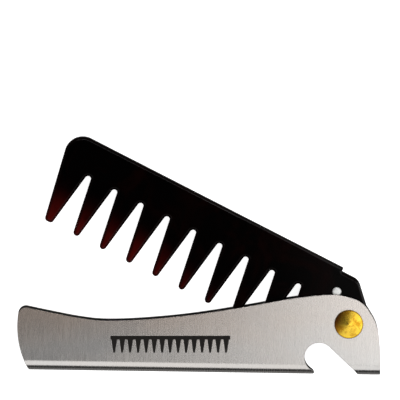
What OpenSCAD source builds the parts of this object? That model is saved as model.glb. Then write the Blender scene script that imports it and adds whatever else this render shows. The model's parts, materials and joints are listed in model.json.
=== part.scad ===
// Folding beard comb. A flat acetate comb with bevelled edges swings out of a handle folded
// from one sheet of steel, and a bottle opener is cut through the handle's fold.
//
// It lies on the handle's rear wall, on Z = 0. The origin is on the pivot's axis, which is
// parallel to Z. +X runs along the handle to its pivot end and +Y to its open side.

/* [Handle] */
// Thickness of the steel sheet
sheet_t = 1.0; // [0.8:0.1:1.2]
// Clear width between the two walls
channel_w = 5.0; // [4.8:0.1:5.6]
// Distance from the pivot's axis to the outside of the fold
fold_drop = 16.8; // [16.7:0.1:17.4]
// Length of the handle
handle_len = 118.3; // [117.5:0.1:119.5]
// Distance from the pivot's axis to the handle's pivot end
pivot_to_end = 10.5; // [10:0.1:10.8]
// Radius of the curve of the far end
end_r = 29; // [26:1:40]
// Radius of the far end's upper corner
end_corner_r = 2.6; // [1.5:0.1:4]

/* [Bottle opener] */
// Radius of the round of the opener's notch
opener_r = 4.8; // [4.2:0.05:5]
// Centre of that round, along the handle
opener_x = -9.45; // [-10.5:0.05:-9]
// Centre of that round, across the handle
opener_y = -11.1; // [-11.5:0.1:-11]
// Slope of the notch's straight side
opener_slope = 43; // [38:1:46]

/* [Comb] */
// Thickness of the acetate
comb_t = 3.8; // [3.4:0.1:4]
// Distance from the pivot's axis to the spine's edge
spine_v = 15.3; // [15:0.1:15.3]
// Distance from the pivot's axis to the line of the tooth tips
tip_v = 15.2; // [14:0.1:15.2]
// Height of the gap roots above the pivot's axis
root_v = 4.1; // [3:0.1:6]
// Number of teeth
tooth_count = 10; // [8:1:10]
// Distance from one tooth to the next
tooth_pitch = 9.6; // [9.2:0.02:9.8]
// Radius of a tooth's tip
tooth_tip_r = 1.12; // [0.9:0.02:1.3]
// Radius of a gap's root
gap_root_r = 0.95; // [0.7:0.05:1.2]
// Lean of the teeth towards the pivot
tooth_lean = 0; // [0:0.1:1.5]
// Slope of the comb's free end
end_slope = 10.8; // [6:0.2:14]
// Radius of the free end's upper corner
comb_corner_r = 6; // [3:0.5:8]
// Width of the bevel along the edges
bevel = 0.8; // [0.7:0.05:1]

/* [Pivot] */
// Radius of the barrel that the comb turns on
barrel_r = 2.5; // [2:0.1:3]
// Radius of the barrel's head
head_r = 4.7; // [4:0.1:5.2]
// Height of the head's rim
head_rim = 0.45; // [0.3:0.05:0.8]
// Height of the shallow cone on the head
head_cone = 0.45; // [0.2:0.05:0.8]
// Radius of the washers
washer_r = 4.5; // [4:0.1:5.5]
// Thickness of each washer
washer_t = 0.55; // [0.4:0.05:0.55]
// Radius of the screw's thread
screw_r = 1.5; // [1.2:0.1:1.5]

/* [Detent pin] */
// Radius of the pin
pin_r = 1.5; // [1:0.1:1.6]
// How far each end of the pin stands out of the comb
pin_proud = 0.35; // [0.2:0.05:0.4]

/* [Hidden] */
$fn = 96;

cut = 1;                                  // how far a cutter runs past what it cuts
running_gap = 0.04;                       // radial clearance of the comb on its barrel
slip_gap = 0.02;                          // radial clearance between parts that don't turn
open_angle = 26.4;                        // how far the comb stands open at rest

// Handle
outer_w = channel_w + 2 * sheet_t;
mid_z = outer_w / 2;
bend_y = outer_w / 2 - fold_drop;         // centre line of the fold's bend
end_x = pivot_to_end - handle_len;        // the far end's furthest point
end_centre = [end_x + end_r, -2.1];
corner_rise = 3.35;                       // corner's centre above the far end's centre line
corner_centre = [
    end_centre.x - sqrt((end_r - end_corner_r) ^ 2 - corner_rise ^ 2),
    end_centre.y + corner_rise
];
corner_side = 180 - asin(corner_rise / (end_r - end_corner_r));
corner_top = 84;
overlap = 5;                              // degrees that joined arcs share
end_bottom = 180 + asin((fold_drop + end_centre.y) / end_r);

// The walls' upper edge, from the far end's corner over the waist and the pivot to the foot
rim = [
    corner_centre + end_corner_r * [cos(corner_top), sin(corner_top)],
    [-95.1, 1.95], [-87, 0.57], [-78.9, -0.1], [-66.5, 0.5], [-50.9, 2.25],
    [-34, 5.1], [-18.1, 8.15], [-5.8, 9.55], [1.3, 8.4], [4.85, 6.4], [7.4, 3],
    [9.2, -0.75], [10.05, -6], [pivot_to_end - 0.1, -11.5], [pivot_to_end, -fold_drop]
];

// Comb, in its own axes: closed, its spine is parallel to the handle's fold
first_root = -97.0;                       // centre line of the gap nearest the free end
last_root = first_root + (tooth_count - 1) * tooth_pitch;
tip_y = tooth_tip_r - tip_v;
root_y = root_v - gap_root_r;
centre_drop = root_y - tip_y;
gap_angle = atan2(tooth_pitch / 2, centre_drop)
    - asin((tooth_tip_r + gap_root_r) / norm([tooth_pitch / 2, centre_drop]));
lean_shift = centre_drop * tan(tooth_lean);
first_tip = first_root - tooth_pitch / 2 + lean_shift;
end_extra = 0.75;                         // how much wider the end tooth is than the rest
end_tip_x = first_tip - end_extra;
comb_corner = [
    end_tip_x - (tooth_tip_r - comb_corner_r) / cos(end_slope)
        - (spine_v - comb_corner_r - tip_y) * tan(end_slope),
    spine_v - comb_corner_r
];
step_x = -9.8;                            // where the spine steps down to the heel
shelf_v = spine_v - 1.25;
heel_r = 4;
heel_x = -5.35;
boss_r = 7.2;
heel_normal = 44.3;                       // direction that the heel's flank faces
last_gap = [last_root, root_y];
tang_normal = atan2(last_gap.y, last_gap.x) + acos((boss_r + gap_root_r) / norm(last_gap));
pin_at = [-8.27, 7.45];

// Opener
foot_chamfer = [1.1, 1.5];                // the foot's cut corner, along and across the handle
claw_x = -11.3;                           // where the claw's tip starts and ends
claw_nose_x = -10.95;                     // its furthest point
claw_top = 1.1;                           // height of the claw's tip above the fold
claw_nose = 0.6;                          // height of its furthest point

// Pivot head and screw
rim_chamfer = 0.15;
screw_head_r = 2.8;
screw_recess = 0.1;
screw_len = 4.6;
slot_w = 0.8;
slot_depth = 0.45;

function arc(centre, r, from, to, steps = 12) =
    [for (i = [0 : steps]) centre + r * [
        cos(from + (to - from) * i / steps),
        sin(from + (to - from) * i / steps)
    ]];

// A smooth curve through p[1] and p[2], t of the way along
function blend_point(p, t) = 0.5 * (
    2 * p[1] + (p[2] - p[0]) * t
    + (2 * p[0] - 5 * p[1] + 4 * p[2] - p[3]) * t ^ 2
    + (3 * p[1] - p[0] - 3 * p[2] + p[3]) * t ^ 3
);

function smooth(points, steps = 5) =
    let (last = len(points) - 1)
    concat(
        [for (i = [0 : last - 1], s = [0 : steps - 1]) blend_point([
            points[max(i - 1, 0)], points[i], points[i + 1], points[min(i + 2, last)]
        ], s / steps)],
        [points[last]]
    );

module wall_outline() {
    polygon(concat(
        arc(end_centre, end_r, end_bottom, corner_side),
        arc(corner_centre, end_corner_r, corner_side - overlap, corner_top + overlap),
        smooth(rim)
    ));
}

// The sheet's U, drawn across the handle: first coordinate along Y, second along Z
module channel_profile() {
    rise = 2 * fold_drop;
    difference() {
        union() {
            translate([bend_y, mid_z]) circle(r = outer_w / 2);
            translate([bend_y, 0]) square([rise, outer_w]);
        }
        translate([bend_y, mid_z]) circle(r = channel_w / 2);
        translate([bend_y, sheet_t]) square([rise + cut, channel_w]);
    }
}

// The notch: a round, one straight side, and a claw left standing at the fold
module opener_outline() {
    centre = [opener_x, opener_y];
    side = centre + opener_r * [sin(opener_slope), cos(opener_slope)];
    chamfer_y = foot_chamfer.y - fold_drop;
    chamfer_x = side.x + (side.y - chamfer_y) / tan(opener_slope);
    foot_x = chamfer_x + foot_chamfer.x;
    translate(centre) circle(r = opener_r);
    polygon([
        centre,
        side,
        [chamfer_x, chamfer_y],
        [foot_x, -fold_drop],
        [foot_x, -fold_drop - cut],
        [claw_x, -fold_drop - cut],
        [claw_x, -fold_drop],
        [claw_nose_x, claw_nose - fold_drop],
        [claw_x, claw_top - fold_drop]
    ]);
}

module handle_channel() {
    color([0.72, 0.71, 0.69])
    difference() {
        intersection() {
            translate([end_x - cut, 0, 0])
                rotate([90, 0, 90]) linear_extrude(handle_len + 2 * cut) channel_profile();
            linear_extrude(outer_w) wall_outline();
        }
        translate([0, 0, -cut]) linear_extrude(outer_w + 2 * cut) opener_outline();
        translate([0, 0, mid_z]) cylinder(r = barrel_r + slip_gap, h = mid_z + cut);
        screw_countersink(slip_gap);
    }
}

// The space of the screw's cone, from below the rear wall into the barrel
module screw_countersink(gap) {
    mouth_r = screw_head_r + cut + gap;
    depth = sheet_t + 2 * cut;
    translate([0, 0, -cut]) cylinder(h = depth, r1 = mouth_r, r2 = mouth_r - depth);
}

// Moves the comb from its own axes to where it stands open
module stand_open() {
    translate([0, 0, mid_z]) rotate([0, 0, -open_angle]) children();
}

// The comb's edge, clockwise from the free end: spine, heel, boss, then the gaps and teeth
function comb_edge() = concat(
    arc(comb_corner, comb_corner_r, 180 + end_slope, 90),
    [[step_x, spine_v], [step_x, shelf_v]],
    arc([heel_x, shelf_v - heel_r], heel_r, 90, heel_normal),
    arc([0, 0], boss_r, heel_normal, tang_normal - 360, 24),
    [for (i = [tooth_count - 1 : -1 : 0]) each concat(
        arc(
            [first_root + i * tooth_pitch, root_y], gap_root_r,
            i == tooth_count - 1 ? tang_normal - 180 : gap_angle + tooth_lean,
            180 - gap_angle + tooth_lean, 8
        ),
        arc(
            [first_tip + i * tooth_pitch, tip_y], tooth_tip_r,
            tooth_lean - gap_angle,
            i == 0 ? -90 : tooth_lean + gap_angle - 180, 8
        )
    )],
    arc([end_tip_x, tip_y], tooth_tip_r, -90, end_slope - 180, 6)
);

// Bevels both faces along an edge whose outer side is on the left of its direction
module bevel_edge(start, angle, run) {
    for (side = [0, 1]) mirror([0, 0, side])
        translate([start.x, start.y, comb_t / 2]) rotate([0, 0, angle]) rotate([90, 0, 90])
            linear_extrude(run) polygon([[-bevel - cut, cut], [cut, cut], [cut, -bevel - cut]]);
}

module comb() {
    color([0.1, 0.03, 0.03])
    stand_open()
    difference() {
        translate([0, 0, -comb_t / 2]) linear_extrude(comb_t) polygon(comb_edge());
        translate([0, 0, -comb_t]) cylinder(r = barrel_r + running_gap, h = 2 * comb_t);
        translate([pin_at.x, pin_at.y, -comb_t]) cylinder(r = pin_r, h = 2 * comb_t);
        bevel_edge([comb_corner.x, spine_v], 0, step_x - comb_corner.x);
        bevel_edge([step_x, shelf_v], 0, -step_x);
        bevel_edge([0, -tip_v], 180, handle_len);
        bevel_edge(
            [end_tip_x, tip_y] - tooth_tip_r * [cos(end_slope), sin(end_slope)],
            90 + end_slope, norm(comb_corner - [end_tip_x, tip_y])
        );
    }
}

// Turned barrel with a head on the front wall; its end bears on the rear wall
module pivot_barrel() {
    rim_top = outer_w + head_rim;
    color([0.83, 0.62, 0.14])
    difference() {
        rotate_extrude() polygon([
            [0, sheet_t], [barrel_r, sheet_t], [barrel_r, outer_w], [head_r, outer_w],
            [head_r, rim_top - rim_chamfer], [head_r - rim_chamfer, rim_top],
            [0, rim_top + head_cone]
        ]);
        translate([0, 0, sheet_t - cut]) cylinder(r = screw_r + slip_gap, h = screw_len + cut);
        screw_countersink(slip_gap);
    }
}

// Countersunk screw from the rear, sunk just below the wall, with a driver's slot
module pivot_screw() {
    color([0.8, 0.6, 0.16])
    difference() {
        union() {
            translate([0, 0, screw_recess]) cylinder(
                r1 = screw_head_r - screw_recess, r2 = screw_r,
                h = screw_head_r - screw_recess - screw_r
            );
            translate([0, 0, screw_head_r - screw_r]) cylinder(r = screw_r, h = screw_len - screw_r);
        }
        translate([-screw_head_r, -slot_w / 2, 0])
            cube([2 * screw_head_r, slot_w, screw_recess + slot_depth]);
    }
}

module washer() {
    difference() {
        cylinder(r = washer_r, h = washer_t);
        translate([0, 0, -cut]) cylinder(r = barrel_r + running_gap, h = washer_t + 2 * cut);
    }
}

module washer_front() {
    color([0.86, 0.84, 0.78]) translate([0, 0, outer_w - sheet_t - washer_t]) washer();
}

module washer_rear() {
    color([0.86, 0.84, 0.78]) translate([0, 0, sheet_t]) washer();
}

// Steel pin pressed through the tang, its ends slightly domed
module detent_pin() {
    dome = 0.15;
    half = comb_t / 2 + pin_proud;
    color([0.85, 0.85, 0.83])
    stand_open() translate(pin_at)
        rotate_extrude() polygon([
            [0, -half], [pin_r - 2 * dome, -half + dome / 3], [pin_r, -half + dome],
            [pin_r, half - dome], [pin_r - 2 * dome, half - dome / 3], [0, half]
        ]);
}

handle_channel();
comb();
pivot_barrel();
pivot_screw();
washer_front();
washer_rear();
detent_pin();
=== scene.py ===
"""Looks of the folding beard comb: meshes, materials, light and camera round the CAD frame."""

import json
import math

import bmesh
import bpy
from mathutils import Matrix, Vector
from mathutils.geometry import tessellate_polygon


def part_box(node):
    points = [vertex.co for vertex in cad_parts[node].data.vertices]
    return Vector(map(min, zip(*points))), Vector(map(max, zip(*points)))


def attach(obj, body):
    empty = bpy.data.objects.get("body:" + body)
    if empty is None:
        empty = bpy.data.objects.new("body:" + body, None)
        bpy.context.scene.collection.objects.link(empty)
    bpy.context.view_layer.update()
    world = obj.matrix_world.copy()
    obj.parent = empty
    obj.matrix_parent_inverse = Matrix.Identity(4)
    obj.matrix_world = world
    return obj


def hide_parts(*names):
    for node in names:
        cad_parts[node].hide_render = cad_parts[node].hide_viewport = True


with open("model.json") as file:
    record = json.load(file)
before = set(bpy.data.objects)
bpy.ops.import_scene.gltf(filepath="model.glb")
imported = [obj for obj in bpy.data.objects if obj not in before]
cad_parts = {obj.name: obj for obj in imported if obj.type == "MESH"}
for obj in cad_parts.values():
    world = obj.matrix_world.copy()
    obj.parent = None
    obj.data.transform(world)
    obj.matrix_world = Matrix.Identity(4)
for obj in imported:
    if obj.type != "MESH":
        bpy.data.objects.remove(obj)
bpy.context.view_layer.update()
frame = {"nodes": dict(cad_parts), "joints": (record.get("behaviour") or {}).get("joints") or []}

MM = 0.001
FINE = 5e-7  # points nearer than this, in metres, are one point
INSIDE = 2  # a point's edge value on the inside of the folded sheet


# ---------------------------------------------------------------- dimensions, in millimetres
# The pivot's axis is at x = y = 0, the handle runs along -x, and z runs up from the rear wall.
# Shapes that the frame's boxes don't give have the same sizes as in part.scad.

HANDLE_LOW, HANDLE_HIGH = (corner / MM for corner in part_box("handle_channel"))
OUTER_W = HANDLE_HIGH.z
MID_Z = OUTER_W / 2
FOLD_DROP = -HANDLE_LOW.y
SHEET_T = 1.0
FOLD_OUTER_R = OUTER_W / 2
FOLD_INNER_R = FOLD_OUTER_R - SHEET_T
FOLD_Y = FOLD_OUTER_R - FOLD_DROP  # the height of the fold's centre line
PIVOT_TO_END = 10.5
DEBURR = 0.13

# The far end is a shallow arc with a tight corner below the rim. Angles are in degrees.
END_R = 29.0
END_CORNER_R = 2.6
END_CENTRE = Vector((HANDLE_LOW.x + END_R, -2.1))
CORNER_RISE = 3.35
CORNER_REACH = END_R - END_CORNER_R
CORNER_CENTRE = END_CENTRE + Vector((-math.sqrt(CORNER_REACH**2 - CORNER_RISE**2), CORNER_RISE))
CORNER_SIDE = 180 - math.degrees(math.asin(CORNER_RISE / CORNER_REACH))
CORNER_TOP = 84

# The rim runs from the corner over the pivot and down to the foot
RIM = [
    (-95.1, 1.95), (-87, 0.57), (-78.9, -0.1), (-66.5, 0.5), (-50.9, 2.25),
    (-34, 5.1), (-18.1, 8.15), (-5.8, 9.55), (1.3, 8.4), (4.85, 6.4), (7.4, 3),
    (9.2, -0.75), (10.05, -6), (PIVOT_TO_END - 0.1, -11.5), (PIVOT_TO_END, -FOLD_DROP),
]

OPENER_R = 4.8
OPENER_CENTRE = Vector((-9.45, -11.1))
OPENER_SLOPE = 43
FOOT_CHAMFER = Vector((1.1, -1.5))
CLAW = [(-11.3, 1.1), (-10.95, 0.6), (-11.3, 0)]  # along the handle, and above the fold

COMB_T = 3.8
SPINE_V = 15.3
TIP_V = 15.2
ROOT_V = 4.1
TOOTH_COUNT = 10
TOOTH_PITCH = 9.6
TIP_R = 1.12
GAP_R = 0.95
TOOTH_LEAN = 0.0
END_SLOPE = 10.8
COMB_CORNER_R = 6.0
BEVEL = 0.8
FIRST_ROOT = -97.0
END_EXTRA = 0.75
STEP_X = -9.8
STEP_DROP = 1.25
STEP_R = 0.3
NOOK_R = 0.4
HEEL_X = -5.35
HEEL_R = 4.0
HEEL_NORMAL = 44.3
BOSS_R = 7.2

OPEN_ANGLE = -frame["joints"][0]["range_deg"][0]
PIN_LOW, PIN_HIGH = (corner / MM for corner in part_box("detent_pin"))
PIN_CENTRE = (PIN_LOW + PIN_HIGH) / 2
PIN_R = (PIN_HIGH.x - PIN_LOW.x) / 2
BARREL_R = 2.5
BORE_SLIP = 0.04  # between the barrel and the comb
SLIP = 0.02  # between the barrel or the screw and what it sits in
SCREW_R = 1.5
SCREW_LEN = 4.6
SCREW_HEAD_R = 2.8
HEAD_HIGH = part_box("pivot_barrel")[1] / MM
HEAD_R = HEAD_HIGH.x
HEAD_RIM = 0.45

# The etched comb, along the handle and across the sheet before it is folded
ETCH_U = -58.0
ETCH_V = math.pi / 2 * FOLD_OUTER_R - FOLD_Y - 7.4
ETCH_LENGTH = 39.0
ETCH_HEIGHT = 5.6
ETCH_SPINE = 1.3
ETCH_TEETH = 15
ETCH_RISE = 0.015  # how much it climbs, because it isn't quite parallel to the fold
ETCH_BLUR = 0.06


# ---------------------------------------------------------------- drawing in the plane


def direction(degrees):
    return Vector((math.cos(math.radians(degrees)), math.sin(math.radians(degrees))))


def arc(centre, radius, start, end, steps):
    """Points on an arc, each with the direction that faces away from the centre."""
    turns = [start + (end - start) * i / steps for i in range(steps + 1)]
    return [(Vector(centre) + radius * direction(a), direction(a)) for a in turns]


def smooth(points, steps):
    """A Catmull-Rom curve through the points."""
    keys = [Vector(p) for p in points]
    curve = []
    for i in range(len(keys) - 1):
        a, b, c, d = keys[max(i - 1, 0)], keys[i], keys[i + 1], keys[min(i + 2, len(keys) - 1)]
        for s in range(steps):
            t = s / steps
            curve.append(0.5 * (
                2 * b + (c - a) * t + (2 * a - 5 * b + 4 * c - d) * t**2
                + (3 * b - a - 3 * c + d) * t**3
            ))
    return curve + [keys[-1]]


def with_normals(points):
    """Each point with its normal, on the left of the way that the points run."""
    found = []
    for i, p in enumerate(points):
        along = points[min(i + 1, len(points) - 1)] - points[max(i - 1, 0)]
        found.append((p, Vector((-along.y, along.x)).normalized()))
    return found


def soften(corners, radius):
    """A profile whose corners are rounded: each becomes two points with the two sides' normals.

    A point is (u, v) with its normal (nu, nv), on the right of the way that the profile runs."""
    most = 0.45  # of a side that one of its corners may take
    corners = [Vector(c) for c in corners]
    profile = []
    for i, corner in enumerate(corners):
        if i > 0:
            back = corners[i - 1] - corner
            cut = 0 if i == len(corners) - 1 else min(radius, back.length * most)
            back.normalize()
            profile.append((corner + back * cut, Vector((-back.y, back.x))))
        if i < len(corners) - 1:
            ahead = corners[i + 1] - corner
            cut = 0 if i == 0 else min(radius, ahead.length * most)
            ahead.normalize()
            profile.append((corner + ahead * cut, Vector((ahead.y, -ahead.x))))
    return profile


def hole_profile(top_r, top, bottom_r, bottom, corner=0.05, chamfer=0.0):
    """A hole's side from the upper face to the lower one, each edge rounded or chamfered."""
    lip = chamfer + 4 * corner
    side = [(top_r, top - chamfer), (bottom_r, bottom + chamfer)]
    if chamfer:
        side = [(top_r + chamfer, top), *side, (bottom_r + chamfer, bottom)]
    return soften([(top_r + lip, top), *side, (bottom_r + lip, bottom)], corner)[1:-1]


# ---------------------------------------------------------------- building meshes


class Skin:
    """Points with their own normals, and the faces between them, in millimetres."""

    def __init__(self):
        self.points, self.normals, self.edges, self.faces = [], [], [], []

    def point(self, place, normal, edge=0.0):
        """Adds a point. Its edge value is 0 on a face, up to 1 on an edge, or INSIDE."""
        self.points.append(Vector(place))
        self.normals.append(Vector(normal).normalized())
        self.edges.append(edge)
        return len(self.points) - 1

    def bridge(self, row, following, closed=False):
        """Four-sided faces between two rows of points."""
        count = len(row)
        for i in range(count if closed else count - 1):
            j = (i + 1) % count
            self.faces.append((row[i], row[j], following[j], following[i]))

    def fill(self, *loops):
        """Flat faces inside the first loop and outside the rest."""
        order = [i for loop in loops for i in loop]
        flat = [[self.points[i] for i in loop] for loop in loops]
        for a, b, c in tessellate_polygon(flat):
            self.faces.append((order[a], order[b], order[c]))

    def build(self, name, material, flat=lambda place: place.xy, place=Matrix()):
        """The piece's object. Its UV map holds flat(point), in millimetres of the drawing."""
        mesh = bmesh.new()
        normal_layer = mesh.verts.layers.float_vector.new("soft_normal")
        edge_layer = mesh.verts.layers.float.new("edge")
        uv_layer = mesh.loops.layers.uv.new("drawing")
        uv_of = {}
        turn = place.to_3x3()
        for point, normal, edge in zip(self.points, self.normals, self.edges):
            vert = mesh.verts.new(place @ (point * MM))
            vert[normal_layer] = turn @ normal
            vert[edge_layer] = edge
            uv_of[vert] = flat(point)
        mesh.verts.ensure_lookup_table()
        for corners in self.faces:
            if len(set(corners)) > 2:
                face = mesh.faces.new([mesh.verts[i] for i in dict.fromkeys(corners)])
                face.smooth = True
                for loop in face.loops:
                    loop[uv_layer].uv = uv_of[loop.vert]
        bmesh.ops.remove_doubles(mesh, verts=mesh.verts[:], dist=FINE)
        bmesh.ops.dissolve_degenerate(mesh, edges=mesh.edges[:], dist=FINE)
        loose = [v for v in mesh.verts if not v.link_faces]
        bmesh.ops.delete(mesh, geom=loose, context="VERTS")
        bmesh.ops.recalc_face_normals(mesh, faces=mesh.faces[:])
        data = bpy.data.meshes.new(name)
        mesh.to_mesh(data)
        mesh.free()
        normals = [tuple(v.vector) for v in data.attributes["soft_normal"].data]
        data.normals_split_custom_set_from_vertices(normals)
        data.attributes.remove(data.attributes["soft_normal"])
        data.materials.append(material)
        piece = bpy.data.objects.new(name, data)
        bpy.context.scene.collection.objects.link(piece)
        return piece


def turned(skin, profile, segments=128, centre=(0, 0)):
    """Turns a softened profile of (radius, height) round an axis parallel to Z."""
    rows = []
    for (radius, height), (out, up) in profile:
        ring = []
        for i in range(segments):
            way = direction(360 * i / segments)
            place = (centre[0] + radius * way.x, centre[1] + radius * way.y, height)
            ring.append(skin.point(place, (out * way.x, out * way.y, up)))
        rows.append(ring)
    for row, following in zip(rows, rows[1:]):
        skin.bridge(row, following, closed=True)
    return rows


def plate(skin, outline, profile, holes):
    """A flat piece: outline(inset) gives its edge, and profile its edge's (outset, height).

    The profile runs up from the lower face. Each hole is (centre, profile), which runs down."""
    rows = []
    for (outset, height), (out, up) in profile:
        row = []
        for place, normal in outline(-outset):
            facing = (out * normal.x, out * normal.y, up)
            row.append(skin.point((*place, height), facing, abs(out)))
        rows.append(row)
    for row, following in zip(rows, rows[1:]):
        skin.bridge(row, following, closed=True)
    rings = [turned(skin, hole, segments=48, centre=centre) for centre, hole in holes]
    skin.fill(rows[0], *[ring[-1] for ring in rings])
    skin.fill(rows[-1], *[ring[0] for ring in rings])


# ---------------------------------------------------------------- the handle


def wall_edge():
    """A wall's free edge, from the fold at the far end over the pivot to the fold at the foot."""
    start = 180 - math.degrees(math.asin((FOLD_Y - END_CENTRE.y) / END_R))
    end = arc(END_CENTRE, END_R, start, CORNER_SIDE, steps=16)[:-1]
    corner = arc(CORNER_CENTRE, END_CORNER_R, CORNER_SIDE, CORNER_TOP, steps=12)
    rim = with_normals(smooth([corner[-1][0], *RIM], steps=8))
    above = [(p, n) for p, n in rim[1:] if p.y > FOLD_Y]
    foot = Vector((edge_x(foot_end(), FOLD_Y), FOLD_Y))
    return end + corner + above + [(foot, Vector((1, 0)))]


def notch_start():
    """Where the opener's round end meets its straight side."""
    return OPENER_CENTRE + OPENER_R * direction(90 - OPENER_SLOPE)


def notch_edge():
    """The opener's edge on a wall, from the fold on its straight side to the fold at the claw."""
    side = notch_start()
    facing = direction(270 - OPENER_SLOPE)
    bottom = Vector((edge_x(foot_side(), FOLD_Y), FOLD_Y))
    last = math.degrees(math.asin((OPENER_CENTRE.y - FOLD_Y) / OPENER_R))
    steps = 6
    straight = [(bottom + (side - bottom) * i / steps, facing) for i in range(steps)]
    curve = arc(OPENER_CENTRE, OPENER_R, 90 - OPENER_SLOPE, 180 + last, steps=40)
    return straight + [(p, -n) for p, n in curve]


# The next four are the edges that cross the fold. Each is a line of points that starts above the
# fold's centre line and runs down to the fold's outside.


def far_end():
    top = 190
    bottom = 180 + math.degrees(math.asin((FOLD_DROP + END_CENTRE.y) / END_R))
    return [p for p, _ in arc(END_CENTRE, END_R, top, bottom, steps=40)]


def claw():
    """The opener's round end, and then the claw's blunt nose."""
    top, bottom = 200, 250
    gap = 0.3  # at least, between the round end's last point and the nose
    nose = [Vector((x, rise - FOLD_DROP)) for x, rise in CLAW]
    curve = [p for p, _ in arc(OPENER_CENTRE, OPENER_R, top, bottom, steps=30)]
    return [p for p in curve if p.y > nose[0].y + gap] + nose


def foot_side():
    side = notch_start()
    low = -FOLD_DROP - FOOT_CHAMFER.y
    run = (side.y - low) / math.tan(math.radians(OPENER_SLOPE))
    corner = Vector((side.x + run, low))
    return [side, corner, corner + FOOT_CHAMFER]


def foot_end():
    top = -6
    return [p for p in smooth(RIM, steps=8) if p.x > 0 and p.y < top]


def edge_x(points, y):
    """Where a line of points that runs downward crosses a height."""
    for a, b in zip(points, points[1:]):
        if a.y >= y >= b.y:
            return a.x + (b.x - a.x) * (a.y - y) / max(a.y - b.y, 1e-9)
    return points[0].x if y > points[0].y else points[-1].x


def developed(place):
    """Where a point of the handle lies on the sheet before it is folded."""
    side = math.copysign(1, place.z - MID_Z)
    if place.y > FOLD_Y:
        return place.x, side * (math.pi / 2 * FOLD_OUTER_R + place.y - FOLD_Y)
    return place.x, math.atan2(place.z - MID_Z, FOLD_Y - place.y) * FOLD_OUTER_R


def cut_depths():
    """How far the points of a cut edge are from the channel's middle, from the outside in."""
    steps = 4
    inner, outer = FOLD_INNER_R + DEBURR, FOLD_OUTER_R - DEBURR
    return [outer + (inner - outer) * i / steps for i in range(steps + 1)]


def wall_row(skin, place, normal, side):
    """A cut edge's points through a wall, with its deburred corners."""
    inset = place - normal * DEBURR
    row = [skin.point((*inset, MID_Z + side * FOLD_OUTER_R), (0, 0, side))]
    for depth in cut_depths():
        row.append(skin.point((*place, MID_Z + side * depth), (*normal, 0), 1))
    row.append(skin.point((*inset, MID_Z + side * FOLD_INNER_R), (0, 0, -side), INSIDE))
    return row


def fold_row(skin, points, outward, turn):
    """The same through the fold: turn is 90 degrees at the front wall and -90 at the rear one.

    The edge follows the line of points and faces outward, which is 1 or -1 along x."""
    down, up = math.cos(math.radians(turn)), math.sin(math.radians(turn))
    near = 0.05
    row = []
    for depth in [FOLD_OUTER_R, *cut_depths(), FOLD_INNER_R]:
        y = FOLD_Y - depth * down
        x = edge_x(points, y)
        slope = (edge_x(points, y + near) - edge_x(points, y - near)) / (2 * near)
        normal, edge = (outward, -outward * slope, 0), 1
        if depth == FOLD_OUTER_R:
            x -= outward * DEBURR
            normal, edge = (0, -down, up), 0
        elif depth == FOLD_INNER_R:
            x -= outward * DEBURR
            normal, edge = (0, down, -up), INSIDE
        row.append(skin.point((x, y, MID_Z + depth * up), normal, edge))
    return row


def handle_sheet(material):
    skin = Skin()
    turns = range(85, -90, -5)
    rims = {side: [wall_row(skin, p, n, side) for p, n in wall_edge()] for side in (1, -1)}
    notches = {side: [wall_row(skin, p, n, side) for p, n in notch_edge()] for side in (1, -1)}
    crossing = {
        "far": (far_end(), -1, rims[1][0], rims[-1][0]),
        "claw": (claw(), 1, notches[1][-1], notches[-1][-1]),
        "side": (foot_side(), -1, notches[1][0], notches[-1][0]),
        "foot": (foot_end(), 1, rims[1][-1], rims[-1][-1]),
    }
    across = {}
    for name, (points, outward, front, rear) in crossing.items():
        middle = [fold_row(skin, points, outward, turn) for turn in turns]
        across[name] = [front, *middle, rear]
    for edge in (*across.values(), *rims.values(), *notches.values()):
        for row, following in zip(edge, edge[1:]):
            skin.bridge(row, following)
    for left, right in (("far", "claw"), ("side", "foot")):
        for layer in (0, -1):
            skin.bridge([r[layer] for r in across[left]], [r[layer] for r in across[right]])

    barrel_hole = BARREL_R + SLIP
    screw_hole = SCREW_HEAD_R + SLIP
    front_hole = hole_profile(barrel_hole, OUTER_W, barrel_hole, OUTER_W - SHEET_T)
    rear_hole = hole_profile(screw_hole - SHEET_T, SHEET_T, screw_hole, 0)
    for side, profile, layers in ((1, front_hole, (0, -1)), (-1, rear_hole, (-1, 0))):
        rings = turned(skin, profile, segments=96)
        for layer, ring in zip(layers, (rings[0], rings[-1])):
            loop = [row[layer] for row in rims[side]] + [row[layer] for row in notches[side]]
            skin.fill(loop, ring)
            for i in ring:
                skin.edges[i] = skin.edges[loop[0]]
    return skin.build("handle_sheet", material, developed)


# ---------------------------------------------------------------- the comb


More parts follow.
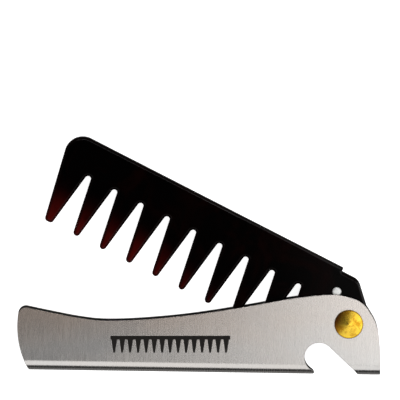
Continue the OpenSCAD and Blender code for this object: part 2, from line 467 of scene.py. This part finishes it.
def comb_outline(inset):
    """The comb's edge in its own axes, closed, with its normals; inset moves it into the comb."""
    tip_y = TIP_R - TIP_V
    root_y = ROOT_V - GAP_R
    drop = root_y - tip_y
    half = math.hypot(TOOTH_PITCH / 2, drop)
    gap_angle = math.degrees(math.atan2(TOOTH_PITCH / 2, drop) - math.asin((TIP_R + GAP_R) / half))
    lean = drop * math.tan(math.radians(TOOTH_LEAN))
    first_tip = FIRST_ROOT - TOOTH_PITCH / 2 + lean
    end_tip = first_tip - END_EXTRA
    slope = math.radians(END_SLOPE)
    corner = (
        end_tip - (TIP_R - COMB_CORNER_R) / math.cos(slope)
        - (SPINE_V - COMB_CORNER_R - tip_y) * math.tan(slope),
        SPINE_V - COMB_CORNER_R,
    )
    shelf = SPINE_V - STEP_DROP
    last_root = FIRST_ROOT + (TOOTH_COUNT - 1) * TOOTH_PITCH
    reach = math.hypot(last_root, root_y)
    tang = math.degrees(math.atan2(root_y, last_root) + math.acos((BOSS_R + GAP_R) / reach))

    def convex(centre, radius, start, end, steps):
        """A corner that sticks out, or its sides' meeting point where the inset uses it up."""
        left = radius - inset
        turns = arc(centre, radius, start, end, steps)
        if left > 0:
            return [(Vector(centre) + left * n, n) for _, n in turns]
        miter = left / math.cos(math.radians(end - start) / 2)
        point = Vector(centre) + miter * direction((start + end) / 2)
        return [(point, n) for _, n in turns]

    def concave(centre, radius, start, end, steps):
        turns = arc(centre, radius, start, end, steps)
        return [(Vector(centre) + (radius + inset) * n, -n) for _, n in turns]

    edge = convex(corner, COMB_CORNER_R, 180 + END_SLOPE, 90, steps=24)
    edge += convex((STEP_X - STEP_R, SPINE_V - STEP_R), STEP_R, 90, 0, steps=4)
    edge += concave((STEP_X + NOOK_R, shelf + NOOK_R), NOOK_R, 180, 270, steps=4)
    edge += convex((HEEL_X, shelf - HEEL_R), HEEL_R, 90, HEEL_NORMAL, steps=12)
    edge += convex((0, 0), BOSS_R, HEEL_NORMAL, tang - 360, steps=48)
    for i in reversed(range(TOOTH_COUNT)):
        root = (FIRST_ROOT + i * TOOTH_PITCH, root_y)
        start = tang - 180 if i == TOOTH_COUNT - 1 else TOOTH_LEAN + gap_angle
        edge += concave(root, GAP_R, start, TOOTH_LEAN - gap_angle + 180, steps=14)
        tip = (first_tip + i * TOOTH_PITCH, tip_y)
        end = -90 if i == 0 else TOOTH_LEAN + gap_angle - 180
        edge += convex(tip, TIP_R, TOOTH_LEAN - gap_angle, end, steps=14)
    edge += convex((end_tip, tip_y), TIP_R, -90, END_SLOPE - 180, steps=8)
    return edge


def comb_place():
    """The comb's own axes, as the rest pose has them."""
    turn = Matrix.Rotation(math.radians(-OPEN_ANGLE), 4, "Z")
    return Matrix.Translation((0, 0, MID_Z * MM)) @ turn


def comb_plate(material):
    skin = Skin()
    half = COMB_T / 2
    face = -BEVEL - 0.4  # a little of the flat face, which gives its corner a side
    profile = soften(
        [(face, -half), (-BEVEL, -half), (0, BEVEL - half),
         (0, half - BEVEL), (-BEVEL, half), (face, half)], radius=0.2,
    )
    pin_at = comb_place().inverted() @ (PIN_CENTRE * MM) / MM
    bores = (((0, 0), BARREL_R + BORE_SLIP), (pin_at.xy, PIN_R))
    holes = [(centre, hole_profile(r, half, r, -half, chamfer=0.22)) for centre, r in bores]
    plate(skin, comb_outline, profile[1:-1], holes)
    return skin.build("comb_plate", material, place=comb_place())


# ---------------------------------------------------------------- pivot and pin


def pivot_head(material):
    """The turned barrel: a shallow cone with a rounded rim on top, and the tapped hole below."""
    skin = Skin()
    rim_top = OUTER_W + HEAD_RIM
    edge, peak_r = 0.15, 0.02
    tap_r, tap_top = SCREW_R + SLIP, SHEET_T + SCREW_LEN
    mouth_r = SCREW_HEAD_R + SLIP - SHEET_T
    profile = soften(
        [(0, tap_top), (tap_r, tap_top), (tap_r, SHEET_T + mouth_r - tap_r), (mouth_r, SHEET_T),
         (BARREL_R, SHEET_T), (BARREL_R, OUTER_W), (HEAD_R, OUTER_W), (HEAD_R, rim_top - edge),
         (HEAD_R - edge, rim_top), (peak_r, HEAD_HIGH.z), (0, HEAD_HIGH.z)], radius=0.05,
    )
    turned(skin, profile)
    return skin.build("pivot_barrel_turned", material)


def detent_pin(material):
    """The ground dowel, with chamfered ends that are slightly domed."""
    skin = Skin()
    dome, chamfer = 0.05, 0.25
    end = [  # (radius, depth below the end's highest point)
        (0, 0), (PIN_R * 0.5, dome * 0.3), (PIN_R - chamfer, dome), (PIN_R, dome + chamfer),
    ]
    lower = [(r, PIN_LOW.z + depth) for r, depth in end]
    upper = [(r, PIN_HIGH.z - depth) for r, depth in reversed(end)]
    turned(skin, soften(lower + upper, radius=0.1), segments=96, centre=PIN_CENTRE.xy)
    return skin.build("detent_pin_ground", material)


# ---------------------------------------------------------------- materials

# the acetate's red-brown, painted brighter as light that comes through the thin tooth tips
TOOTH_RED_GLOW = (0.085, 0.0042, 0.0030)
BRASS = (0.97, 0.66, 0.07)
BRASS_PATINA = (0.58, 0.28, 0.015)
# painted dark reflection on one side of the head
BRASS_DARK_REFLECTION = (0.16, 0.006, 0.003)


class Graph:
    """A material's nodes. Each call adds some, fed by numbers or by other nodes' outputs."""

    def __init__(self, name, colour, **values):
        self.material = bpy.data.materials.new(name)
        self.material.use_nodes = True
        self.tree = self.material.node_tree
        self.shader = self.tree.nodes["Principled BSDF"]
        self.shader.inputs["Base Color"].default_value = (*colour, 1)
        for socket, value in values.items():
            self.shader.inputs[socket.replace("_", " ")].default_value = value

    def feed(self, socket, value):
        if isinstance(value, bpy.types.NodeSocket):
            self.tree.links.new(value, socket)
        else:
            socket.default_value = value

    def add(self, kind, *inputs, output=0, **settings):
        node = self.tree.nodes.new("ShaderNode" + kind)
        for key, value in settings.items():
            setattr(node, key, value)
        for socket, value in zip(node.inputs, inputs):
            self.feed(socket, value)
        return node.outputs[output]

    def maths(self, operation, *values):
        return self.add("Math", *values, operation=operation)

    def sum(self, *values):
        return self.maths("ADD", *values)

    def times(self, *values):
        return self.maths("MULTIPLY", *values)

    def axes(self, place):
        """A point's three coordinates."""
        return self.add("SeparateXYZ", place).node.outputs

    def ramp(self, value, low, high, start=0.0, end=1.0):
        """Start below low and end above high, with a smooth change between."""
        return self.add("MapRange", value, low, high, start, end, interpolation_type="SMOOTHSTEP")

    def inside(self, value, low, high, blur):
        """One between low and high, and nought outside."""
        above = self.ramp(value, low - blur, low + blur)
        below = self.ramp(value, high - blur, high + blur, 1, 0)
        return self.times(above, below)

    def blend(self, share, first, second, **settings):
        """The first colour, with the given share of the second."""
        colours = [c if isinstance(c, bpy.types.NodeSocket) else (*c, 1) for c in (first, second)]
        return self.add("MixRGB", share, *colours, **settings)

    def drawing(self):
        """The piece's UV map: a point of the drawing, in millimetres."""
        return self.add("UVMap", uv_map="drawing")

    def edge(self):
        """The edge value that the piece's points were given."""
        return self.add("Attribute", attribute_name="edge", output=2)

    def tangent(self, **settings):
        """The direction that the brushing or the turning follows."""
        return self.add("Tangent", **settings)

    def noise(self, place, scale, detail=3.0, roughness=0.5, distortion=0.0):
        """A cloud, nought to one, with a scale of its own along each axis."""
        stretched = self.add("VectorMath", place, scale, operation="MULTIPLY")
        cloud = self.add("TexNoise", stretched).node
        settings = {"Scale": 1, "Detail": detail, "Roughness": roughness, "Distortion": distortion}
        for socket, value in settings.items():
            cloud.inputs[socket].default_value = value
        return cloud.outputs[0]

    def bump(self, height, depth):
        """Relief of the given depth, in millimetres."""
        node = self.tree.nodes.new("ShaderNodeBump")
        node.inputs["Distance"].default_value = depth * MM
        self.feed(node.inputs["Height"], height)
        return node.outputs[0]

    def finish(self, **outputs):
        for socket, value in outputs.items():
            self.feed(self.shader.inputs[socket.replace("_", " ")], value)
        return self.material


def etched_comb(graph, u, v):
    """The mask of a plain comb that is etched on the front wall: a bar with tapered teeth."""
    low, high = ETCH_V - ETCH_HEIGHT / 2, ETCH_V + ETCH_HEIGHT / 2
    left, right = ETCH_U - ETCH_LENGTH / 2, ETCH_U + ETCH_LENGTH / 2
    bar_low = high - ETCH_SPINE
    pitch = ETCH_LENGTH / ETCH_TEETH
    tip, root = 0.12 * pitch, 0.36 * pitch  # half a tooth's width
    v = graph.sum(v, graph.times(graph.sum(u, -ETCH_U), -ETCH_RISE))
    across = graph.maths("MODULO", graph.sum(u, -left), pitch)
    off_middle = graph.maths("ABSOLUTE", graph.sum(across, -pitch / 2))
    half_width = graph.add("MapRange", v, low, bar_low, tip, root)
    beyond = graph.maths("SUBTRACT", off_middle, half_width)
    tooth = graph.ramp(beyond, -ETCH_BLUR, ETCH_BLUR, 1, 0)
    bar = graph.inside(v, bar_low, high, ETCH_BLUR)
    shape = graph.maths("MAXIMUM", tooth, bar)
    within = graph.times(
        graph.inside(u, left, right, ETCH_BLUR), graph.inside(v, low, high, ETCH_BLUR)
    )
    return graph.times(shape, within)


def steel(name):
    """Stainless sheet, brushed across the handle.

    Its cut edges are duller and greyer. Its inside has painted shade, dark as the channel's
    shadow, except at the end by the pivot, which is painted lighter where light reaches in."""
    graph = Graph(name, (0.66, 0.64, 0.62), Metallic=1.0, Roughness=0.3, Anisotropic=0.75)
    sheet = graph.drawing()
    along, across, _ = graph.axes(sheet)
    marked = graph.edge()
    edge = graph.maths("MINIMUM", marked, 1)
    inside = graph.ramp(marked, 0.6 * INSIDE, 0.95 * INSIDE)
    fine = graph.noise(sheet, (5.5, 0.10, 1), 4, 0.6)
    streaks = graph.noise(sheet, (1.1, 0.035, 1), 3, 0.55)
    clouds = graph.noise(sheet, (0.035, 0.06, 1), 2, 0.5, 0.3)
    mark = etched_comb(graph, along, across)

    brushing = graph.sum(
        graph.times(graph.sum(fine, -0.5), 0.22), graph.times(graph.sum(streaks, -0.5), 0.30)
    )
    tone = graph.blend(graph.sum(brushing, 0.5), (0.50, 0.485, 0.47), (0.82, 0.80, 0.78))
    tone = graph.blend(graph.times(graph.ramp(clouds, 0.35, 0.65), 0.35), tone, (0.70, 0.64, 0.59))
    tone = graph.blend(graph.times(edge, 0.5), tone, (0.36, 0.35, 0.34))
    # painted shade: the inside of the folded sheet is dark as the channel's shadow, and painted
    # lighter near the pivot's end, where light reaches in
    painted_light_by_pivot = graph.ramp(along, 3, 7)
    painted_channel_shade = graph.blend(painted_light_by_pivot, (0.08, 0.077, 0.073), (0.42, 0.41, 0.40))
    tone = graph.blend(inside, tone, painted_channel_shade)
    near_rim = graph.ramp(graph.sum(across, graph.times(clouds, 8)), 12, 26)
    warmth = graph.times(near_rim, graph.ramp(along, -90, 5, 1, 0.25))
    tone = graph.blend(warmth, tone, (1.0, 0.88, 0.80), blend_type="MULTIPLY")
    tone = graph.blend(mark, tone, (0.035, 0.032, 0.030))

    rough = graph.sum(graph.times(fine, 0.16), graph.times(clouds, 0.06))
    rough = graph.sum(rough, graph.sum(graph.times(edge, 0.14), 0.15))
    rough = graph.sum(rough, graph.times(mark, 0.35))
    relief = graph.bump(graph.sum(fine, graph.times(mark, -6)), 0.0025)
    grain = graph.tangent(direction_type="UV_MAP", uv_map="drawing")
    return graph.finish(Base_Color=tone, Roughness=rough, Normal=relief, Tangent=grain)


def acetate(name):
    """Polished dark tortoiseshell: almost black, with brown clouds, and red-brown tooth tips that
    are painted light coming through the thin acetate.
    """
    graph = Graph(name, (0.004, 0.002, 0.002), Roughness=0.16, Specular_IOR_Level=0.06)
    sheet = graph.drawing()
    along, across, _ = graph.axes(sheet)
    edge = graph.edge()
    clouds = graph.noise(sheet, (0.07, 0.05, 1), 3, 0.6, 1.2)
    flecks = graph.noise(sheet, (0.35, 0.16, 1), 4, 0.6, 0.6)
    scratches = graph.noise(sheet, (9, 0.4, 1), 2, 0.5)
    ripple = graph.noise(sheet, (0.5, 0.5, 1), 3)

    brown = graph.ramp(clouds, 0.45, 0.68)
    body = graph.blend(brown, (0.0004, 0.0002, 0.0002), (0.003, 0.0004, 0.0003))
    # the painted red glow through the thin tips reaches less far up the teeth near the pivot, as
    # painted shade from the handle
    height = graph.sum(across, graph.times(graph.sum(clouds, -0.5), 7))
    height = graph.sum(height, graph.ramp(along, -75, -25, 0, 10))
    tip = graph.ramp(height, -16.5, 2.0, 1, 0)
    tip = graph.times(graph.times(tip, tip), graph.ramp(flecks, 0.15, 0.6, 0.5, 1))
    tone = graph.blend(tip, body, TOOTH_RED_GLOW)
    tone = graph.blend(graph.times(edge, 0.75), tone, (0.003, 0.001, 0.001))
    return graph.finish(
        Base_Color=tone,
        Roughness=graph.sum(graph.times(ripple, 0.10), 0.10),
        Specular_IOR_Level=graph.ramp(edge, 0.05, 0.6, 0.025, 0.16),
        Normal=graph.bump(scratches, 0.0008),
    )


def turned_brass(name):
    """Brass turned on a lathe: rings round the axis, some patina, and a painted dark reflection on
    one side.

    The object's own coordinates are metres from the pivot's axis."""
    roughness = 0.2
    graph = Graph(name, BRASS, Metallic=1.0, Roughness=roughness, Anisotropic=0.7)
    place = graph.add("TexCoord", output=3)
    x, y, z = graph.axes(place)
    radius = graph.maths("SQRT", graph.sum(graph.maths("POWER", x, 2), graph.maths("POWER", y, 2)))
    rings_per_metre = 9000
    rings = graph.add(
        "CombineXYZ", graph.times(radius, rings_per_metre), graph.times(z, rings_per_metre), 0
    )
    rings = graph.noise(rings, (1, 1, 1), 3, 0.6)
    patina = graph.noise(place, (380, 380, 380), 3, 0.6, 0.5)
    # painted shade: a dark ring just inside the head's rounded rim
    rim = graph.ramp(radius, 0.9 * HEAD_R * MM, 0.97 * HEAD_R * MM)
    # painted reflection: a dark maroon side on the upper left, where the head would mirror dark
    # surroundings
    to_side = graph.sum(x, graph.times(y, -0.4))
    ragged = graph.sum(to_side, graph.times(patina, 4 * MM))
    dark_reflection = graph.ramp(ragged, -3 * MM, 1 * MM, 1, 0)

    tone = graph.blend(graph.ramp(patina, 0.42, 0.66), BRASS, BRASS_PATINA)
    tone = graph.blend(graph.times(rings, 0.25), tone, BRASS_PATINA)
    tone = graph.blend(graph.times(dark_reflection, 0.9), tone, BRASS_DARK_REFLECTION)
    tone = graph.blend(graph.times(rim, 0.7), tone, (0.20, 0.10, 0.02))
    return graph.finish(
        Base_Color=tone,
        Roughness=graph.sum(graph.times(rings, 0.12), roughness - 0.05),
        Normal=graph.bump(rings, 0.003),
        Tangent=graph.tangent(axis="Z"),
    )


def ground_steel(name):
    graph = Graph(name, (0.8, 0.79, 0.77), Metallic=0.7, Roughness=0.38)
    grain = graph.noise(graph.add("TexCoord", output=3), (6000, 900, 900), 3, 0.6)
    return graph.finish(
        Base_Color=graph.blend(grain, (0.84, 0.84, 0.82), (0.96, 0.96, 0.94)),
        Roughness=graph.sum(graph.times(grain, 0.15), 0.3),
        Normal=graph.bump(grain, 0.002),
    )


def nylon(name):
    """Moulded nylon: matt and slightly translucent."""
    graph = Graph(
        name, (0.82, 0.79, 0.70), Roughness=0.55, Subsurface_Weight=0.2, Subsurface_Scale=0.001
    )
    grain = graph.noise(graph.add("TexCoord", output=3), (2500, 2500, 2500), 3, 0.6)
    tone = graph.blend(grain, (0.74, 0.71, 0.62), (0.86, 0.83, 0.75))
    return graph.finish(Base_Color=tone, Normal=graph.bump(grain, 0.008))


# ---------------------------------------------------------------- camera and light


def camera():
    """A long lens that looks almost straight down, turned a little about its own axis."""
    tilt, roll = math.radians(6.5), math.radians(0.86)
    view_width = 0.130
    aim = Vector((-48.99, 39.51, MID_Z)) * MM
    lens = bpy.data.cameras.new("camera")
    lens.sensor_width = 36
    lens.lens = 1200
    lens.clip_start, lens.clip_end = 0.1, 20
    distance = view_width * lens.lens / lens.sensor_width
    level_up = Vector((0, math.cos(tilt), -math.sin(tilt)))
    back = Vector((0, math.sin(tilt), math.cos(tilt)))
    right = math.cos(roll) * Vector((1, 0, 0)) + math.sin(roll) * level_up
    up = math.cos(roll) * level_up - math.sin(roll) * Vector((1, 0, 0))
    turn = Matrix((right, up, back)).transposed()
    eye = bpy.data.objects.new("camera", lens)
    eye.matrix_world = Matrix.Translation(aim + back * distance) @ turn.to_4x4()
    bpy.context.scene.collection.objects.link(eye)
    bpy.context.scene.camera = eye


def softbox(name, place, target, width, height, radiance):
    """A rectangular light whose long sides are level, and which the camera doesn't see."""
    light = bpy.data.lights.new(name, "AREA")
    light.shape = "RECTANGLE"
    light.size, light.size_y = width, height
    light.energy = radiance * math.pi * width * height
    lamp = bpy.data.objects.new(name, light)
    lamp.location = place
    lamp.rotation_mode = "QUATERNION"
    lamp.rotation_quaternion = (Vector(target) - Vector(place)).to_track_quat("-Z", "Y")
    lamp.visible_camera = False
    bpy.context.scene.collection.objects.link(lamp)


def surroundings():
    """A dim grey room, which is darkest at the horizon and just below it."""
    levels = (  # from 0 straight down to 1 straight up, and how bright it is there
        (0.0, 0.20), (0.38, 0.20), (0.43, 0.03), (0.50, 0.03), (0.75, 0.12), (1.0, 0.10),
    )
    world = bpy.data.worlds.new("studio")
    bpy.context.scene.world = world
    world.use_nodes = True
    tree = world.node_tree
    way = tree.nodes.new("ShaderNodeTexCoord")
    axes = tree.nodes.new("ShaderNodeSeparateXYZ")
    half = tree.nodes.new("ShaderNodeMapRange")
    half.inputs["From Min"].default_value = -1
    ramp = tree.nodes.new("ShaderNodeValToRGB")
    while len(ramp.color_ramp.elements) < len(levels):
        ramp.color_ramp.elements.new(0.5)
    for stop, (place, level) in zip(ramp.color_ramp.elements, levels):
        stop.position = place
        stop.color = (level, level, level, 1)
    tree.links.new(way.outputs["Generated"], axes.inputs[0])
    tree.links.new(axes.outputs["Z"], half.inputs["Value"])
    tree.links.new(half.outputs[0], ramp.inputs[0])
    tree.links.new(ramp.outputs[0], tree.nodes["Background"].inputs["Color"])


def floor():
    """White paper that glows a little, and that the metal doesn't mirror."""
    skin = Skin()
    reach = 6000
    corners = [(-reach, -reach), (reach, -reach), (reach, reach), (-reach, reach)]
    skin.faces.append([skin.point((*c, 0), (0, 0, 1)) for c in corners])
    white, glow = (0.9, 0.9, 0.9), 0.9
    paper = Graph(
        "floor_paper", white, Roughness=0.9, Emission_Color=(1, 1, 1, 1), Emission_Strength=glow
    )
    sheet = skin.build("floor", paper.material)
    sheet.visible_glossy = False


def studio():
    surroundings()
    floor()
    softbox("overhead", (0.21, -0.026, 0.35), (0.21, -0.026, 0), 0.44, 0.10, 1.72)
    softbox("front", (-0.05, -0.2657, 0.3252), (-0.05, 0, 0), 1.2, 0.405, 0.93)
    softbox("back", (0.10, 0.42, 0.42), (-0.05, 0, 0), 0.9, 0.12, 6.5)
    softbox("side", (0.50, 0.10, 0.05), (0, 0, 0.004), 0.4, 0.12, 1.6)


# ---------------------------------------------------------------- the scene

camera()
bpy.context.scene.view_settings.view_transform = "Standard"

brass_turned = turned_brass("brass_turned")
pieces = (
    (handle_sheet(steel("steel_brushed")), "handle", "handle_channel", "steel_sheet"),
    (comb_plate(acetate("acetate_polished")), "comb", "comb", "acetate"),
    (pivot_head(brass_turned), "handle", "pivot_barrel", "brass_head"),
    (detent_pin(ground_steel("steel_ground")), "comb", "detent_pin", "steel_pin"),
)
for piece, body, node, slot in pieces:
    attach(piece, body)
    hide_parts(node)

washer_nylon = nylon("nylon_moulded")
kept_nodes = (
    ("pivot_screw", brass_turned), ("washer_front", washer_nylon), ("washer_rear", washer_nylon),
)
for node, material in kept_nodes:
    frame["nodes"][node].data.materials.clear()
    frame["nodes"][node].data.materials.append(material)

studio()
